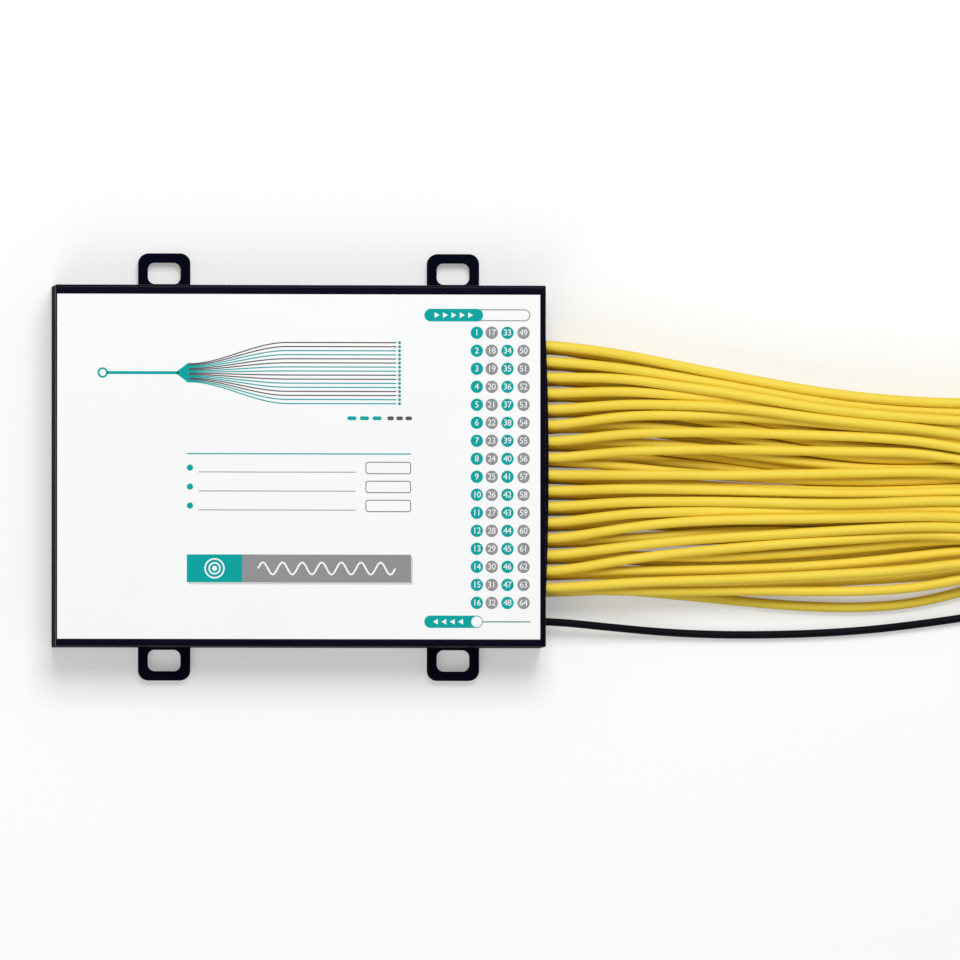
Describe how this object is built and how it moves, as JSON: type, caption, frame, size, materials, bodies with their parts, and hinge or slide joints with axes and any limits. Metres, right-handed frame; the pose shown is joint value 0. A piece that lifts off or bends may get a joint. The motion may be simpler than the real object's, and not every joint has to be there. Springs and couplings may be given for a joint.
{
  "type": "plc fibre splitter",
  "caption": "Flat rectangular optical fibre splitter module with mounting ears; one input cable and a multi-row fan of yellow output cables with connectors, folded and strapped.",
  "frame": {"origin": "centre of the case's flat back face", "axes": "+X along the case towards the side the output cables leave, +Y across the case towards the top edge of the label, +Z out of the label face"},
  "size_m": [0.701, 0.1273, 0.0364],
  "materials": {
    "case_plastic": "semi-gloss moulded black",
    "label_plastic": "printed white satin sheet",
    "screw_steel": "zinc plated",
    "foam": "closed-cell foam",
    "housing_steel": "drawn stainless tube",
    "boot_rubber": "soft black",
    "carrier_steel": "plain",
    "silica": "polished",
    "fibre_coating": "clear coated fibre",
    "block_plastic": "moulded black",
    "buffer_tube": "white loose tube",
    "resin": "cast epoxy",
    "plate_plastic": "moulded black",
    "cable_jacket_yellow": "satin zero-halogen jacket",
    "cable_jacket_black": "satin jacket",
    "strap_fabric": "hook-and-loop tape",
    "plug_green": "moulded green",
    "boot_green": "soft green",
    "cap_plastic": "soft translucent",
    "zirconia": "polished"
  },
  "bodies": {
    "root": {"base_shell": "case_plastic", "lid": "case_plastic", "face_label": "label_plastic", "exit_plate": "plate_plastic", "input_bush": "boot_rubber", "case_screws": "screw_steel", "lower_foam_pad": "foam", "fanout_pad": "foam", "upper_foam_pad": "foam", "splitter_housing": "housing_steel", "housing_boots": "boot_rubber", "chip_carrier": "carrier_steel", "plc_chip": "silica", "input_fibre_array": "silica", "output_fibre_array": "silica", "input_fibre": "fibre_coating", "fibre_ribbons": "fibre_coating", "fanout_blocks": "block_plastic", "fanout_tubes": "buffer_tube", "anchor_block": "resin", "input_anchor": "resin", "input_buffer_tube": "buffer_tube", "input_cable": "cable_jacket_black", "cable_gather": "cable_jacket_yellow", "cable_hank": "cable_jacket_yellow", "cable_spread": "cable_jacket_yellow", "hank_ties": "strap_fabric", "sc_ferrules": "zirconia", "input_plug_boot": "boot_green", "input_plug_housing": "plug_green", "input_plug_ferrule": "zirconia", "input_plug_cap": "cap_plastic", "output_cables_layer_1": "cable_jacket_yellow", "output_tails_layer_1": "cable_jacket_yellow", "sc_boots_layer_1": "boot_green", "sc_housings_layer_1": "plug_green", "sc_caps_layer_1": "cap_plastic", "output_cables_layer_2": "cable_jacket_yellow", "output_tails_layer_2": "cable_jacket_yellow", "sc_boots_layer_2": "boot_green", "sc_housings_layer_2": "plug_green", "sc_caps_layer_2": "cap_plastic", "output_cables_layer_3": "cable_jacket_yellow", "output_tails_layer_3": "cable_jacket_yellow", "sc_boots_layer_3": "boot_green", "sc_housings_layer_3": "plug_green", "sc_caps_layer_3": "cap_plastic", "output_cables_layer_4": "cable_jacket_yellow", "output_tails_layer_4": "cable_jacket_yellow", "sc_boots_layer_4": "boot_green", "sc_housings_layer_4": "plug_green", "sc_caps_layer_4": "cap_plastic"}
  },
  "joints": []
}
